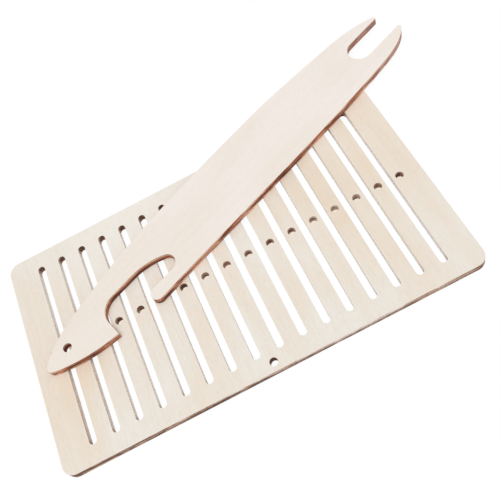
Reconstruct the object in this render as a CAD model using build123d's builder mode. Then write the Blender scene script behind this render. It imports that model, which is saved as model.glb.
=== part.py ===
from build123d import *
from math import atan2, cos, degrees, radians, sin, sqrt
import os

# A band weaver's rigid heddle board with a flat shuttle lying loose across it, both cut from plywood.
# Millimetres. +X runs along the board, +Y along its slots towards the back, +Z up off the table.
# The origin is the centre of the board's underside.

# Three-ply sheet: two equal outer veneers glued to a cross-grained core
outer_veneer = 1.1
core_veneer = 1.1
glue_line = 0.1

# Heddle board: warp threads run through the slots and through the eyes beside them
slot_count = 16
slot_pitch = 10.0
slot_width = 3.2
slot_length = 87.4
end_margin = 14.4  # from the last slot's centre line to the end of the board
rail_width = 7.6  # from the slots' ends to the board's long edges
corner_radius = 5.0
eye_diameter = 3.5
hang_hole_diameter = 3.5
hang_hole_inset = 3.7  # from the hang hole's centre to the front edge

# Where the shuttle's nose lies on the board, and how far the shuttle is turned from its long side
nose_x = -83.2
nose_y = -8.0
shuttle_angle = 22.7

# Shuttle outline, with lengths from the tip of the nose and reaches to each side of the line through it
nose_radius = 2.4
nose_back_angle = 39.8  # between each edge of the nose and that line
nose_front_angle = 31.0
nose_shoulder = 11.8
back_shoulder = 16.0
back_bulge = 17.6
front_bulge = 15.4
yarn_eye_at = 11.8
yarn_eye_offset = 1.3
yarn_eye_diameter = 3.9

# Hooked notch in the shuttle's front edge, between a barb and a round-ended finger, to catch the yarn
barb_at = 29.9
barb_lean = 0.4
notch_roof = 3.4
notch_corner_radius = 8.6
roof_end = 50.3
roof_radius = 30.4
heel_radius = 4.3
finger_end = 49.3
finger_top = 9.0
finger_height = 5.9

# Fork at the shuttle's far end, between two pointed prongs of unequal length
fork_at = 190.8
fork_width = 11.7
back_prong_at = 215.3
front_prong_at = 217.3
back_prong_root = 13.9
front_prong_root = 14.4
back_prong_slope = 5.8
back_prong_taper = 28.0
front_prong_taper = 46.0
prong_tip_width = 1.4
prong_tip_radius = 0.6

# What follows from those sizes
sheet_thickness = 2 * outer_veneer + core_veneer + 2 * glue_line
board_length = (slot_count - 1) * slot_pitch + 2 * end_margin
board_width = slot_length + 2 * rail_width

# Layers of one sheet from its underside up: name, height of the lower face, thickness
lower_glue_height = outer_veneer
core_height = lower_glue_height + glue_line
upper_glue_height = core_height + core_veneer
face_height = upper_glue_height + glue_line
sheet_layers = [
    ("back_veneer", 0, outer_veneer),
    ("lower_glue_line", lower_glue_height, glue_line),
    ("core_veneer", core_height, core_veneer),
    ("upper_glue_line", upper_glue_height, glue_line),
    ("face_veneer", face_height, outer_veneer),
]


def draw_heddle_board():
    """Draw the board: round corners, slots, an eye on each side of every slot, and a hang hole."""
    RectangleRounded(board_length, board_width, corner_radius)
    with GridLocations(slot_pitch, slot_length, slot_count, 1):
        SlotOverall(slot_length, slot_width, rotation=90, mode=Mode.SUBTRACT)
    with GridLocations(slot_pitch, slot_length, slot_count + 1, 1):
        Circle(eye_diameter / 2, mode=Mode.SUBTRACT)
    with Locations((0, hang_hole_inset - board_width / 2)):
        Circle(hang_hole_diameter / 2, mode=Mode.SUBTRACT)


def draw_shuttle():
    """Draw the shuttle with its nose at the sketch's origin and its fork along the sketch's X axis."""
    nose_back_edge = (cos(radians(nose_back_angle)), sin(radians(nose_back_angle)))
    nose_front_edge = (cos(radians(nose_front_angle)), -sin(radians(nose_front_angle)))
    nose_back = (nose_radius * (1 - nose_back_edge[1]), nose_radius * nose_back_edge[0])
    nose_front = (nose_radius * (1 + nose_front_edge[1]), -nose_radius * nose_front_edge[0])
    finger_radius = finger_height / 2
    finger_bottom = finger_top + finger_height
    roof_centre = notch_roof - roof_radius
    heel_y = heel_radius - finger_top
    heel_x = roof_end + sqrt((roof_radius - heel_radius) ** 2 - (heel_y - roof_centre) ** 2)
    heel_turn = degrees(atan2(heel_y - roof_centre, heel_x - roof_end))
    widest_at = (heel_x + heel_radius + fork_at) / 2
    prong_tip_reach = fork_width / 2 + prong_tip_width
    back_slope = (cos(radians(back_prong_slope)), -sin(radians(back_prong_slope)))
    back_taper = (cos(radians(back_prong_taper)), -sin(radians(back_prong_taper)))
    front_taper = (-cos(radians(front_prong_taper)), -sin(radians(front_prong_taper)))
    with BuildLine() as outline:
        ThreePointArc(nose_front, (0, 0), nose_back)
        back_edge = Spline(
            nose_back,
            (barb_at, nose_shoulder),
            (heel_x, back_shoulder),
            (widest_at, back_bulge),
            (fork_at, back_prong_root),
            tangents=(nose_back_edge, back_slope),
        )
        back_prong = Spline(
            back_edge @ 1,
            (back_prong_at, prong_tip_reach),
            tangents=(back_slope, back_taper),
        )
        prong_tips = Line(back_prong @ 1, (front_prong_at, -prong_tip_reach))
        front_edge = Spline(
            prong_tips @ 1,
            (fork_at, -front_prong_root),
            (widest_at, -front_bulge),
            (finger_end + finger_radius, -finger_bottom),
            tangents=(front_taper, (-1, 0)),
        )
        finger_round = ThreePointArc(
            front_edge @ 1,
            (finger_end, -finger_top - finger_radius),
            (finger_end + finger_radius, -finger_top),
        )
        Line(finger_round @ 1, (heel_x, -finger_top))
        CenterArc((heel_x, heel_y), heel_radius, -90, 90 + heel_turn)
        roof_slope = CenterArc((roof_end, roof_centre), roof_radius, heel_turn, 90 - heel_turn)
        roof = Line(roof_slope @ 1, (barb_at + barb_lean + notch_corner_radius, notch_roof))
        corner = RadiusArc(
            roof @ 1,
            (barb_at + barb_lean, notch_roof - notch_corner_radius),
            -notch_corner_radius,
        )
        barb = Line(corner @ 1, (barb_at, -nose_shoulder))
        TangentArc(nose_front, barb @ 1, tangent=nose_front_edge)
    make_face(outline.edges())
    with Locations((fork_at + fork_width / 2, 0)):
        Circle(fork_width / 2, mode=Mode.SUBTRACT)
        Rectangle(
            front_prong_at - fork_at, fork_width, align=(Align.MIN, Align.CENTER), mode=Mode.SUBTRACT
        )
    with Locations((yarn_eye_at, yarn_eye_offset)):
        Circle(yarn_eye_diameter / 2, mode=Mode.SUBTRACT)


os.makedirs("parts", exist_ok=True)

# Heddle board, lying on the table
for layer, height, thickness in sheet_layers:
    with BuildPart() as heddle_layer:
        with BuildSketch(Plane.XY.offset(height)):
            draw_heddle_board()
        extrude(amount=thickness)
    heddle_layer.part.label = "heddle_" + layer
    export_step(heddle_layer.part, f"parts/heddle_{layer}.step")

# Shuttle, lying on the board's upper face
shuttle_plane = Plane(
    origin=(nose_x, nose_y, sheet_thickness),
    x_dir=(cos(radians(shuttle_angle)), sin(radians(shuttle_angle)), 0),
    z_dir=(0, 0, 1),
)
shuttle_axis = Axis(shuttle_plane.origin, shuttle_plane.x_dir)
for layer, height, thickness in sheet_layers:
    with BuildPart() as shuttle_layer:
        with BuildSketch(shuttle_plane.offset(height)):
            draw_shuttle()
        extrude(amount=thickness)
        # The four upright edges furthest from the nose are the corners of the two prong tips
        prong_corners = shuttle_layer.edges().filter_by(Axis.Z).sort_by(shuttle_axis)[-4:]
        fillet(prong_corners, min(prong_tip_radius, prong_tip_width / 2))
    shuttle_layer.part.label = "shuttle_" + layer
    export_step(shuttle_layer.part, f"parts/shuttle_{layer}.step")
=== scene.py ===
from math import radians

import bpy
from mathutils import Matrix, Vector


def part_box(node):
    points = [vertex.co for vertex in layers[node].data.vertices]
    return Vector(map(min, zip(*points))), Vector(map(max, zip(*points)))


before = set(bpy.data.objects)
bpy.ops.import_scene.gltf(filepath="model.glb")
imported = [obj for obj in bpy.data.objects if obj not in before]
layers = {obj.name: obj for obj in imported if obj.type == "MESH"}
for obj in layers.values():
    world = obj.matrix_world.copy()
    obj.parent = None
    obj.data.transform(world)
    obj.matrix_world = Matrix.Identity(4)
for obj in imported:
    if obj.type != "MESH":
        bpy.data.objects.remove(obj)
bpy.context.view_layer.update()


# Heddle board, face veneer and back veneer: the outer layers of its thin plywood, peeled from a pale
# log, sanded and left bare, with the grain along the slots so that the thin bars don't snap. A laser cut
# outline, slots and eyes through all layers at once and singed the walls, most across the grain.

BOARD_GRAIN = radians(90)  # from the board's long side
board_half_length, board_half_width, sheet_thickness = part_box("heddle_face_veneer")[1]


def tone(red, green, blue):
    """Turn a colour as it looks in a picture, 0 to 255, into the linear colour that a shader takes."""
    levels = [level / 255 for level in (red, green, blue)]
    linear = [v / 12.92 if v <= 0.04045 else ((v + 0.055) / 1.055) ** 2.4 for v in levels]
    return (*linear, 1)


def place(tree, kind, feeds, **settings):
    """Put a node in a tree. Each feed is a value for one of its inputs, or the output to link to it."""
    node = tree.nodes.new(kind)
    for name, value in settings.items():
        setattr(node, name, value)
    for socket, value in feeds.items():
        if isinstance(value, bpy.types.NodeSocket):
            tree.links.new(value, node.inputs[socket])
        else:
            node.inputs[socket].default_value = value
    return node


def start_group(name, takes, gives):
    """Begin a shader group with named inputs, each with its usual value, and named outputs."""
    group = bpy.data.node_groups.new(name, "ShaderNodeTree")
    for socket, (kind, usual) in takes.items():
        group.interface.new_socket(socket, in_out="INPUT", socket_type=kind).default_value = usual
    for socket, kind in gives.items():
        group.interface.new_socket(socket, in_out="OUTPUT", socket_type=kind)
    return group, group.nodes.new("NodeGroupInput").outputs


def work_out(tree, operation, first, second=0.0, clamp=False):
    """Work one value out of two, and hold it between 0 and 1 where asked."""
    feeds = {0: first, 1: second}
    return place(tree, "ShaderNodeMath", feeds, operation=operation, use_clamp=clamp).outputs[0]


def times(tree, first, second):
    """Multiply two values."""
    return work_out(tree, "MULTIPLY", first, second)


def add_up(tree, total, *others):
    """Add values to a first one."""
    for other in others:
        total = work_out(tree, "ADD", total, other)
    return total


def blend(tree, amount, first, second):
    """Mix two colours, which the node takes at its inputs 6 and 7."""
    feeds = {0: amount, 6: first, 7: second}
    return place(tree, "ShaderNodeMix", feeds, data_type="RGBA").outputs[2]


def blend_values(tree, amount, first, second):
    """Mix two plain values, which the node takes at its inputs 2 and 3."""
    feeds = {0: amount, 2: first, 3: second}
    return place(tree, "ShaderNodeMix", feeds, data_type="FLOAT").outputs[0]


def spread(tree, value, low, high, to_low=0.0, to_high=1.0):
    """Ease a value from one range into another and hold it inside."""
    feeds = {"Value": value, "From Min": low, "From Max": high, "To Min": to_low, "To Max": to_high}
    return place(tree, "ShaderNodeMapRange", feeds, interpolation_type="SMOOTHSTEP").outputs[0]


def mottle(tree, where, marks, detail=2.0, roughness=0.5):
    """Make soft noise with so many marks to the unit along, across and through the sheet."""
    scaled = place(tree, "ShaderNodeVectorMath", {0: where, 1: marks}, operation="MULTIPLY")
    feeds = {"Vector": scaled.outputs[0], "Scale": 1.0, "Detail": detail, "Roughness": roughness}
    return place(tree, "ShaderNodeTexNoise", feeds).outputs[0]


def on_sheet(tree):
    """Give the spot on the sheet, in metres, which moves with the piece."""
    return place(tree, "ShaderNodeTexCoord", {}).outputs["Object"]


def along_grain(tree, vector, angle):
    """Turn a direction or a spot so that its first number runs along the grain."""
    feeds = {"Vector": vector, "Angle": times(tree, angle, -1.0)}
    return place(tree, "ShaderNodeVectorRotate", feeds, rotation_type="Z_AXIS").outputs[0]


COLOUR, VALUE, VECTOR = "NodeSocketColor", "NodeSocketFloat", "NodeSocketVector"

# Sanded grain: broad clouds of warmer wood, long faint streaks, short flecks and pores, and fine fibres,
# each with so many marks to the metre along, across and through the grain.
CLOUDS = (22.0, 48.0, 30.0)
STREAKS = (7.0, 420.0, 420.0)
FLECKS = (380.0, 1300.0, 1300.0)
PORES = (480.0, 4200.0, 4200.0)
FIBRES = (260.0, 7000.0, 7000.0)
CLOUD_WARMTH = 0.5
STREAK_WARMTH = 0.22
FLECK_DARKNESS = 0.09
PORE_DARKNESS = 0.3
FIBRE_DARKNESS = 0.05
FIBRE_RELIEF = 0.6
STREAK_RELIEF = 0.4
# Near-white wood for painted light, laid where the light falls brighter.
PAINTED_LIGHT_WOOD = tone(250, 246, 240)
grain, given = start_group(
    "sanded_grain",
    takes={
        "Grain Angle": (VALUE, 0.0),
        "Cut From": (VECTOR, (0.0, 0.0, 0.0)),
        "Pale Wood": (COLOUR, tone(237, 229, 218)),
        "Warm Wood": (COLOUR, tone(234, 218, 197)),
        "Pore": (COLOUR, tone(206, 184, 158)),
        # Warmth And Painted Shade: warmer wood by place, which also serves as painted shade.
        "Warmth And Painted Shade": (VALUE, 0.0),
        # Painted Light: how far a spot turns to near-white wood, as painted light.
        "Painted Light": (VALUE, 0.0),
    },
    gives={"Colour": COLOUR, "Roughness": VALUE, "Height": VALUE},
)
in_log = place(grain, "ShaderNodeVectorMath", {0: on_sheet(grain), 1: given["Cut From"]}, operation="ADD")
log_spot = along_grain(grain, in_log.outputs[0], given["Grain Angle"])
cloud = mottle(grain, log_spot, CLOUDS, detail=2.5)
streak = mottle(grain, log_spot, STREAKS, detail=3.0, roughness=0.6)
fleck = mottle(grain, log_spot, FLECKS, detail=1.5)
pore = mottle(grain, log_spot, PORES, detail=1.0)
fibre = mottle(grain, log_spot, FIBRES, roughness=0.65)
pores = spread(grain, pore, 0.66, 0.8)
cloud_share = times(grain, spread(grain, cloud, 0.36, 0.66), CLOUD_WARMTH)
streak_share = times(grain, spread(grain, streak, 0.35, 0.65, -0.5, 0.5), STREAK_WARMTH)
fleck_share = times(grain, spread(grain, fleck, 0.42, 0.72), FLECK_DARKNESS)
# Warmer wood: the grain's clouds and, by place, the wood's own warm patches and painted shade.
warmth_and_shade_share = add_up(grain, cloud_share, given["Warmth And Painted Shade"])
warmth_and_shade_share = work_out(grain, "ADD", warmth_and_shade_share, streak_share, clamp=True)
colour = blend(grain, warmth_and_shade_share, given["Pale Wood"], given["Warm Wood"])
# Painted light: paler, near-white wood by place.
colour = blend(grain, given["Painted Light"], colour, PAINTED_LIGHT_WOOD)
colour = blend(grain, fleck_share, colour, given["Pore"])
colour = blend(grain, times(grain, pores, PORE_DARKNESS), colour, given["Pore"])
colour = blend(grain, times(grain, fibre, FIBRE_DARKNESS), colour, given["Pore"])
relief = work_out(grain, "SUBTRACT", times(grain, fibre, FIBRE_RELIEF), pores)
relief = add_up(grain, relief, times(grain, streak, STREAK_RELIEF))
dullness = spread(grain, streak, 0.3, 0.7, 0.58, 0.7)
place(grain, "NodeGroupOutput", {"Colour": colour, "Roughness": dullness, "Height": relief})

# Laser burn: a mask of the cut walls, singed and charred patches and flat streaks along them, ash, and the
# beam's upright ripples. Patches and streaks have so many marks to the patch length, ripples to the metre.
PATCHES = (1.0, 1.0, 2.5)
BURN_STREAKS = (1.5, 1.5, 16.0)
RIPPLES = (4200.0, 4200.0, 180.0)
RIPPLE_BURN = 0.1
ASH = tone(208, 176, 168)
burn, given = start_group(
    "laser_burn",
    takes={
        "Grain Angle": (VALUE, 0.0),
        "Singed": (COLOUR, tone(220, 190, 170)),
        "Toasted": (COLOUR, tone(180, 130, 105)),
        "Charred": (COLOUR, tone(95, 62, 50)),
        "Patches": (VALUE, 0.5),
        "Streaks": (VALUE, 0.15),
        "End Grain": (VALUE, 0.3),
        "Patch Length": (VALUE, 0.012),
        "Side Grain": (VALUE, 1.0),
        # Darker Low Down: how much darker a wall gets toward its underside; at the shuttle's notch it is
        # painted contact shadow.
        "Darker Low Down": (VALUE, 0.2),
        "Underside": (VALUE, 0.0),
        "Scorch": (VALUE, 0.0),
        "Ash": (VALUE, 0.0),
    },
    gives={"Cut Wall": VALUE, "Colour": COLOUR, "Roughness": VALUE, "Height": VALUE},
)
normal = place(burn, "ShaderNodeTexCoord", {}).outputs["Normal"]
facing = along_grain(burn, normal, given["Grain Angle"])
faces_along, _, faces_up = place(burn, "ShaderNodeSeparateXYZ", {0: facing}).outputs
cut_wall = spread(burn, work_out(burn, "ABSOLUTE", faces_up), 0.4, 0.6, 1.0, 0.0)
end_grain = work_out(burn, "POWER", work_out(burn, "ABSOLUTE", faces_along), 2.0)
spot = on_sheet(burn)
in_patches = place(burn, "ShaderNodeVectorMath", {0: spot, 1: given["Patch Length"]}, operation="DIVIDE")
patches = mottle(burn, in_patches.outputs[0], PATCHES)
streaks = mottle(burn, in_patches.outputs[0], BURN_STREAKS, detail=1.0)
ripples = mottle(burn, spot, RIPPLES, detail=1.0)
spot_height = place(burn, "ShaderNodeSeparateXYZ", {0: spot}).outputs["Z"]
depth = work_out(burn, "SUBTRACT", spot_height, given["Underside"])
patch_burn = times(burn, spread(burn, patches, 0.38, 0.62), given["Patches"])
streak_burn = times(burn, spread(burn, streaks, 0.35, 0.65, -1.0, 1.0), given["Streaks"])
# Darker toward the wall's underside, by as much as each place asks.
low_darkening = times(burn, spread(burn, depth, 0.0, sheet_thickness, 1.0, -1.0), given["Darker Low Down"])
charring = add_up(burn, patch_burn, streak_burn, low_darkening)
charring = times(burn, charring, spread(burn, end_grain, 0.0, 1.0, given["Side Grain"], 1.0))
charring = add_up(burn, charring, times(burn, end_grain, given["End Grain"]), given["Scorch"])
ripple_burn = spread(burn, ripples, 0.3, 0.7, -RIPPLE_BURN, RIPPLE_BURN)
charring = work_out(burn, "ADD", charring, ripple_burn, clamp=True)
burnt = blend(burn, spread(burn, charring, 0.0, 0.5), given["Singed"], given["Toasted"])
burnt = blend(burn, spread(burn, charring, 0.5, 1.0), burnt, given["Charred"])
burnt = blend(burn, given["Ash"], burnt, ASH)
dullness = spread(burn, charring, 0.0, 1.0, 0.6, 0.85)
place(
    burn,
    "NodeGroupOutput",
    {"Cut Wall": cut_wall, "Colour": burnt, "Roughness": dullness, "Height": ripples},
)


def new_finish(name):
    """Start a material with an empty tree."""
    material = bpy.data.materials.new(name)
    material.use_nodes = True
    material.node_tree.nodes.clear()
    return material, material.node_tree


def use_group(tree, group, feeds):
    """Place a group in a material with its own values."""
    return place(tree, "ShaderNodeGroup", feeds, node_tree=group).outputs


BARE_SHINE = 0.25


def cover(tree, colour, roughness, height, bump_depth):
    """Give a material its surface shader, with bumps so many metres deep."""
    bump = place(tree, "ShaderNodeBump", {"Height": height, "Distance": bump_depth, "Strength": 1.0})
    surface = place(
        tree,
        "ShaderNodeBsdfPrincipled",
        {
            "Base Color": colour,
            "Roughness": roughness,
            "Specular IOR Level": BARE_SHINE,
            "Normal": bump.outputs[0],
        },
    )
    place(tree, "ShaderNodeOutputMaterial", {"Surface": surface.outputs[0]})


def dress(names, material):
    """Give layers of the sheet their finish."""
    for name in names:
        layers[name].data.materials.clear()
        layers[name].data.materials.append(material)


def dabs(tree, places, everywhere=0.0):
    """Lay soft dabs over an even coat, each given by its heart, its reach and its strength there."""
    spot = on_sheet(tree)
    total = everywhere
    for heart, reach, strength in places:
        off = place(tree, "ShaderNodeVectorMath", {0: spot, 1: heart}, operation="DISTANCE")
        total = add_up(tree, spread(tree, off.outputs["Value"], 0.0, reach, strength, 0.0), total)
    return total


VENEER_RELIEF = 0.00002


def veneer_finish(name, grain_feeds, burn_feeds, warm_and_shade_places, painted_light_places, burn_by_place):
    """Make bare sanded veneer, warmer in places, with painted shade in some and painted light in others,
    and with cut walls burnt more in places.
    """
    material, tree = new_finish(name)
    by_place = {"Warmth And Painted Shade": dabs(tree, warm_and_shade_places), "Painted Light": dabs(tree, painted_light_places)}
    face = use_group(tree, grain, {**grain_feeds, **by_place})
    wall = use_group(tree, burn, {**burn_feeds, **burn_by_place(tree)})
    colour = blend(tree, wall["Cut Wall"], face["Colour"], wall["Colour"])
    roughness = blend_values(tree, wall["Cut Wall"], face["Roughness"], wall["Roughness"])
    height = blend_values(tree, wall["Cut Wall"], face["Height"], wall["Height"])
    cover(tree, colour, roughness, height, VENEER_RELIEF)
    return material


EYE_PITCH = 0.010
EYES_EACH_SIDE = 8.0  # of the middle one


def off_nearest_eye(tree):
    """Find how far a spot is from the upright line through the nearest of the board's thread eyes."""
    along, across, _ = place(tree, "ShaderNodeSeparateXYZ", {0: on_sheet(tree)}).outputs
    eye = work_out(tree, "ROUND", work_out(tree, "DIVIDE", along, EYE_PITCH))
    eye = work_out(tree, "MAXIMUM", work_out(tree, "MINIMUM", eye, EYES_EACH_SIDE), -EYES_EACH_SIDE)
    to_eye = work_out(tree, "SUBTRACT", along, times(tree, eye, EYE_PITCH))
    off_eye = place(tree, "ShaderNodeCombineXYZ", {0: to_eye, 1: across, 2: 0.0}).outputs[0]
    return place(tree, "ShaderNodeVectorMath", {0: off_eye}, operation="LENGTH").outputs["Value"]


EYE_RADIUS = 0.00175
EYE_WALL = (EYE_RADIUS + 0.00025, EYE_RADIUS + 0.00095)  # where an eye's burn fades out
SLOT_WIDTH = 0.0032
SLOT_REACH = 0.0437  # from the middle of the board to a slot's end
SLOT_TURN = (SLOT_REACH - SLOT_WIDTH, SLOT_REACH - 0.0010)  # where its side turns into its end
LONG_EDGE = (board_half_width - 0.0016, board_half_width - 0.0006)  # where its walls begin
SHORT_EDGE = (board_half_length - 0.0069, board_half_length - 0.0049)  # where its walls begin
RIM_HEIGHT = 0.0008
RIM_BURN = 0.25
SLOT_END_BURN = 0.5
EYE_BURN = 0.42
SHORT_EDGE_BURN = 0.3
END_GRAIN_BURN = 0.55
EYE_END_GRAIN_BURN = 0.25


def board_burn(tree):
    """Burn the board's walls by place, most in tight turns and along the slots' upper rims."""
    scorch = dabs(
        tree,
        [
            ((-0.082, -0.030, 0.002), 0.040, 0.2),
            ((0.038, -0.022, 0.002), 0.075, -0.35),
            ((0.072, 0.000, 0.002), 0.014, 0.25),
            ((0.022, -0.051, 0.002), 0.022, -0.2),
            ((0.058, 0.030, 0.002), 0.040, -0.3),
        ],
    )
    # Walls darker low down, more along the front edge.
    low_darkening_by_place = dabs(
        tree,
        [((0.018, -0.051, 0.002), 0.080, 0.3), ((-0.082, -0.051, 0.002), 0.045, -0.3)],
        everywhere=0.15,
    )
    along, across, height = place(tree, "ShaderNodeSeparateXYZ", {0: on_sheet(tree)}).outputs
    from_middle = work_out(tree, "ABSOLUTE", across)
    in_eye = spread(tree, off_nearest_eye(tree), *EYE_WALL, 1.0, 0.0)
    inside_long_edges = spread(tree, from_middle, *LONG_EDGE, 1.0, 0.0)
    inside_short_edges = spread(tree, work_out(tree, "ABSOLUTE", along), *SHORT_EDGE, 1.0, 0.0)
    slot_side = work_out(tree, "SUBTRACT", spread(tree, from_middle, *SLOT_TURN, 1.0, 0.0), in_eye)
    rim = spread(tree, height, sheet_thickness - RIM_HEIGHT, sheet_thickness, 0.0, RIM_BURN)
    slot_end = times(tree, spread(tree, from_middle, *SLOT_TURN, 0.0, SLOT_END_BURN), inside_long_edges)
    cuts = add_up(tree, times(tree, slot_side, rim), slot_end, times(tree, in_eye, EYE_BURN))
    short_edges = spread(tree, inside_short_edges, 0.0, 1.0, SHORT_EDGE_BURN, 0.0)
    return {
        "Scorch": add_up(tree, scorch, times(tree, cuts, inside_short_edges), short_edges),
        "Darker Low Down": low_darkening_by_place,
        "End Grain": spread(tree, in_eye, 0.0, 1.0, END_GRAIN_BURN, EYE_END_GRAIN_BURN),
    }


board_veneer = veneer_finish(
    "bare_board_veneer",
    grain_feeds={
        "Grain Angle": BOARD_GRAIN,
        "Cut From": (0.31, 0.12, 0.05),
        "Pale Wood": tone(237, 231, 222),
        "Warm Wood": tone(234, 218, 198),
        "Pore": tone(204, 182, 156),
    },
    burn_feeds={
        "Grain Angle": BOARD_GRAIN,
        "Singed": tone(252, 246, 240),
        "Toasted": tone(212, 178, 156),
        "Charred": tone(126, 94, 79),
        "Patches": 0.45,
        "Patch Length": 0.010,
        "Side Grain": 0.15,
    },
    # Warmer and cooler wood by place. The warm dabs just in front of the shuttle, at its nose and along
    # its front wall, are painted shade: its shadow and warm bounce on the board.
    warm_and_shade_places=[
        ((0.066, 0.012, 0.0035), 0.085, 0.5),
        ((-0.078, -0.016, 0.0035), 0.032, 0.45),
        ((-0.016, -0.008, 0.0035), 0.030, 0.35),
        ((0.016, -0.004, 0.0035), 0.030, -0.4),
        ((-0.025, 0.052, 0.0035), 0.070, -0.7),
        ((-0.068, -0.014, 0.0035), 0.013, 0.6),
        ((-0.023, 0.008, 0.0035), 0.014, 0.7),
        ((0.079, 0.041, 0.0035), 0.016, 0.5),
        ((0.046, -0.048, 0.0035), 0.026, -0.45),
        ((-0.015, -0.048, 0.0035), 0.024, -0.25),
    ],
    # Painted light: the board paler toward its back, as if lit more from there, which also lifts the
    # shuttle's shadow behind it.
    painted_light_places=[((-0.030, 0.050, 0.0035), 0.060, 0.3), ((0.080, 0.045, 0.0035), 0.050, 0.2)],
    burn_by_place=board_burn,
)
dress(["heddle_face_veneer", "heddle_back_veneer"], board_veneer)


# Heddle board, core veneer: the middle layer, glued in with its grain across the board so that the sheet
# stays flat. Only its cut walls show, as a dark band half-way up every edge, slot and eye.

CROSSED = radians(90)  # a core's grain lies square to the outer layers'


def core_finish(name, grain_feeds, burn_feeds, burn_by_place):
    """Make core veneer, which shows only as burnt cut walls."""
    material, tree = new_finish(name)
    face = use_group(tree, grain, grain_feeds)
    wall = use_group(tree, burn, {**burn_feeds, **burn_by_place(tree)})
    colour = blend(tree, wall["Cut Wall"], face["Colour"], wall["Colour"])
    cover(tree, colour, wall["Roughness"], wall["Height"], VENEER_RELIEF)
    return material


board_core = core_finish(
    "burnt_board_core",
    grain_feeds={"Grain Angle": BOARD_GRAIN + CROSSED, "Cut From": (0.7, 0.4, 0.1)},
    burn_feeds={
        "Grain Angle": BOARD_GRAIN,
        "Singed": tone(250, 243, 236),
        "Toasted": tone(200, 164, 141),
        "Charred": tone(114, 84, 70),
        "Patches": 0.45,
        "Patch Length": 0.009,
        "Side Grain": 0.15,
    },
    burn_by_place=board_burn,
)
dress(["heddle_core_veneer"], board_core)


# Glue lines of both sheets: resin films that bond the three veneers of a sheet under heat and pressure.
# They show only as fine dark lines along the cut walls, where the laser has baked them hard.

GLUE_RELIEF = 0.00001
shuttle_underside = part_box("shuttle_back_veneer")[0].z


def glue_finish(name, burn_feeds):
    """Make a baked glue line."""
    material, tree = new_finish(name)
    wall = use_group(tree, burn, burn_feeds)
    cover(tree, wall["Colour"], wall["Roughness"], wall["Height"], GLUE_RELIEF)
    return material


board_glue = glue_finish(
    "baked_board_glue",
    {
        "Grain Angle": BOARD_GRAIN,
        "Singed": tone(232, 217, 204),
        "Toasted": tone(150, 118, 100),
        "Charred": tone(80, 56, 46),
        "Patches": 0.4,
        "End Grain": 0.7,
        "Patch Length": 0.006,
        "Side Grain": 0.3,
    },
)
dress(["heddle_upper_glue_line", "heddle_lower_glue_line"], board_glue)
shuttle_glue = glue_finish(
    "baked_shuttle_glue",
    {
        "Singed": tone(150, 96, 76),
        "Toasted": tone(112, 70, 56),
        "Charred": tone(76, 48, 39),
        "Patches": 0.8,
        "End Grain": 0.2,
        "Patch Length": 0.006,
        "Underside": shuttle_underside,
    },
)
dress(["shuttle_upper_glue_line", "shuttle_lower_glue_line"], shuttle_glue)


# Shuttle, face veneer and back veneer: the outer layers of its own plywood, paler and pinker than the
# board's, with the grain along the shuttle. The laser cut nose, hooked notch, finger and fork in one pass
# and left the walls salmon brown, with a little ash about the fork.

SHUTTLE_GRAIN = radians(22.7)  # as it lies across the board


def shuttle_burn(tree):
    """Burn the walls by place, such as the nose's flank at its upper rim, and paint shade on the notch low
    down.
    """
    scorch = dabs(
        tree,
        [
            ((-0.066, -0.0105, 0.006), 0.012, 0.3),
            ((-0.079, -0.0095, 0.005), 0.009, -0.35),
            ((-0.042, 0.013, 0.005), 0.018, 0.3),
            ((0.001, 0.011, 0.005), 0.016, -0.3),
            ((0.092, 0.049, 0.005), 0.022, -0.25),
            ((0.110, 0.070, 0.005), 0.030, -0.3),
        ],
        everywhere=0.12,
    )
    # Walls darker low down. At the notch this dark low band is painted contact shadow.
    low_darkening_by_place = dabs(
        tree,
        [((-0.035, 0.013, 0.005), 0.030, 1.0), ((-0.066, -0.0105, 0.005), 0.014, -0.2)],
        everywhere=0.1,
    )
    ash = dabs(tree, [((0.110, 0.068, 0.005), 0.034, 0.55)])
    return {"Scorch": scorch, "Darker Low Down": low_darkening_by_place, "Ash": ash}


shuttle_veneer = veneer_finish(
    "bare_shuttle_veneer",
    grain_feeds={
        "Grain Angle": SHUTTLE_GRAIN,
        "Cut From": (0.05, 0.57, 0.2),
        "Pale Wood": tone(243, 235, 228),
        "Warm Wood": tone(237, 226, 214),
        "Pore": tone(214, 198, 182),
    },
    burn_feeds={
        "Grain Angle": SHUTTLE_GRAIN,
        "Singed": tone(240, 203, 180),
        "Toasted": tone(192, 124, 92),
        "Charred": tone(114, 66, 49),
        "Patches": 0.7,
        "Streaks": 0.3,
        "End Grain": 0.15,
        "Patch Length": 0.012,
        "Underside": shuttle_underside,
    },
    # Warmer toward the nose: partly wood tone, partly painted shade that, with the painted light at the
    # fork, makes the shuttle darker at its nose.
    warm_and_shade_places=[((-0.075, -0.008, 0.007), 0.060, 0.5)],
    # Painted light: the shuttle paler toward its fork, where the light falls brighter.
    painted_light_places=[((0.110, 0.073, 0.007), 0.040, 0.12)],
    burn_by_place=shuttle_burn,
)
dress(["shuttle_face_veneer", "shuttle_back_veneer"], shuttle_veneer)


# Shuttle, core veneer: the cross-grained middle layer, glued between the outer ones. It shows only on
# the cut walls, as their darkest band.

shuttle_core = core_finish(
    "burnt_shuttle_core",
    grain_feeds={"Grain Angle": SHUTTLE_GRAIN + CROSSED, "Cut From": (0.2, 0.9, 0.3)},
    burn_feeds={
        "Grain Angle": SHUTTLE_GRAIN + CROSSED,
        "Singed": tone(224, 160, 126),
        "Toasted": tone(184, 114, 82),
        "Charred": tone(106, 61, 46),
        "Patches": 0.75,
        "Streaks": 0.35,
        "End Grain": 0.15,
        "Patch Length": 0.010,
        "Underside": shuttle_underside,
    },
    burn_by_place=shuttle_burn,
)
dress(["shuttle_core_veneer"], shuttle_core)


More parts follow.
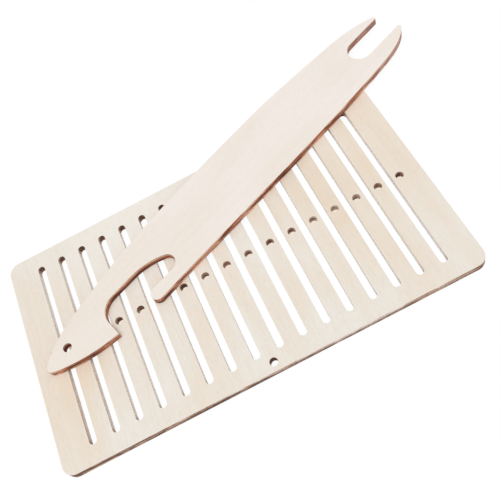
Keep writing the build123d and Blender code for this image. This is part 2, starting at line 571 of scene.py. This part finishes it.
# Table: a plain white top under the board. To the camera and in reflections it is as bright as the white
# background, and it keeps a soft shadow of the board. Little light gets down the thread eyes, so a cream
# shade is painted into its glow under them.

TABLE_HALF = 1.5
TABLE_DROP = 0.00005  # keeps its top off the board's underside
WHITE = (1, 1, 1, 1)
SHADOWED = (0.08, 0.08, 0.08, 1)
TABLE_GLOW = 0.93
EYE_FLOOR = (EYE_RADIUS + 0.00045, EYE_RADIUS + 0.00125)  # where the cream under an eye fades out
table_corners = [
    (-TABLE_HALF, -TABLE_HALF, 0),
    (TABLE_HALF, -TABLE_HALF, 0),
    (TABLE_HALF, TABLE_HALF, 0),
    (-TABLE_HALF, TABLE_HALF, 0),
]
table_mesh = bpy.data.meshes.new("table_top")
table_mesh.from_pydata(table_corners, [], [(0, 1, 2, 3)])
table = bpy.data.objects.new("table_top", table_mesh)
table.location.z = -TABLE_DROP
bpy.context.scene.collection.objects.link(table)


def seen_directly(tree):
    """Tell the camera's rays, gloss and glass included, from the rays that only carry light."""
    rays = place(tree, "ShaderNodeLightPath", {}).outputs
    seen = work_out(tree, "MAXIMUM", rays["Is Camera Ray"], rays["Is Glossy Ray"])
    return work_out(tree, "MAXIMUM", seen, rays["Is Transmission Ray"])


white_table, tree = new_finish("white_table")
# Painted shade: cream glow under each of the board's eyes, where little light reaches the table.
painted_eye_shade = spread(tree, off_nearest_eye(tree), *EYE_FLOOR, 1.0, 0.0)
table_colour = blend(tree, painted_eye_shade, WHITE, tone(240, 226, 212))
lit = place(tree, "ShaderNodeBsdfDiffuse", {"Color": tone(240, 240, 240)})
glow = place(tree, "ShaderNodeEmission", {"Color": table_colour, "Strength": TABLE_GLOW})
shade = place(tree, "ShaderNodeBsdfDiffuse", {"Color": SHADOWED})
backdrop = place(tree, "ShaderNodeAddShader", {0: glow.outputs[0], 1: shade.outputs[0]})
surface = place(
    tree,
    "ShaderNodeMixShader",
    {0: seen_directly(tree), 1: lit.outputs[0], 2: backdrop.outputs[0]},
)
place(tree, "ShaderNodeOutputMaterial", {"Surface": surface.outputs[0]})
table_mesh.materials.append(white_table)


# Studio light: a white room lights the board evenly from all round. One large soft lamp hangs overhead, a
# little in front of the board.

ROOM_LIGHT = 0.5
LAMP_PLACE = (-0.05, -0.35, 2.5)
LAMP_WIDTH = 2.2
LAMP_POWER = 37.4
room = bpy.data.worlds.new("white_room")
room.use_nodes = True
tree = room.node_tree
tree.nodes.clear()
walls = place(tree, "ShaderNodeBackground", {"Color": WHITE, "Strength": ROOM_LIGHT})
backdrop = place(tree, "ShaderNodeBackground", {"Color": WHITE, "Strength": 1.0})
surface = place(
    tree,
    "ShaderNodeMixShader",
    {0: seen_directly(tree), 1: walls.outputs[0], 2: backdrop.outputs[0]},
)
place(tree, "ShaderNodeOutputWorld", {"Surface": surface.outputs[0]})
bpy.context.scene.world = room

lamp_data = bpy.data.lights.new("soft_lamp", "AREA")
lamp_data.shape = "DISK"
lamp_data.size = LAMP_WIDTH
lamp_data.energy = LAMP_POWER
lamp = bpy.data.objects.new("soft_lamp", lamp_data)
lamp.location = LAMP_PLACE
lamp.rotation_euler = (-lamp.location).to_track_quat("-Z", "Y").to_euler()
bpy.context.scene.collection.objects.link(lamp)


# Camera: it looks down at the board from straight in front, rolled so that the board runs up to the
# right in the picture.

CAMERA_PLACE = (0.01263, -0.15184, 0.24926)
CAMERA_TURN = radians(0.5)  # from straight ahead
CAMERA_TILT = radians(31.91)  # from straight down
CAMERA_ROLL = radians(-27.85)
CAMERA_LENS = 50.52  # millimetres, for a picture as wide as the sensor
CAMERA_SENSOR = 36
camera_data = bpy.data.cameras.new("camera")
camera_data.lens = CAMERA_LENS
camera_data.sensor_width = CAMERA_SENSOR
camera_data.clip_start = 0.01
camera = bpy.data.objects.new("camera", camera_data)
camera.matrix_world = (
    Matrix.Translation(CAMERA_PLACE)
    @ Matrix.Rotation(CAMERA_TURN, 4, "Z")
    @ Matrix.Rotation(CAMERA_TILT, 4, "X")
    @ Matrix.Rotation(CAMERA_ROLL, 4, "Z")
)
bpy.context.scene.collection.objects.link(camera)
bpy.context.scene.camera = camera
bpy.context.scene.view_settings.view_transform = "Standard"
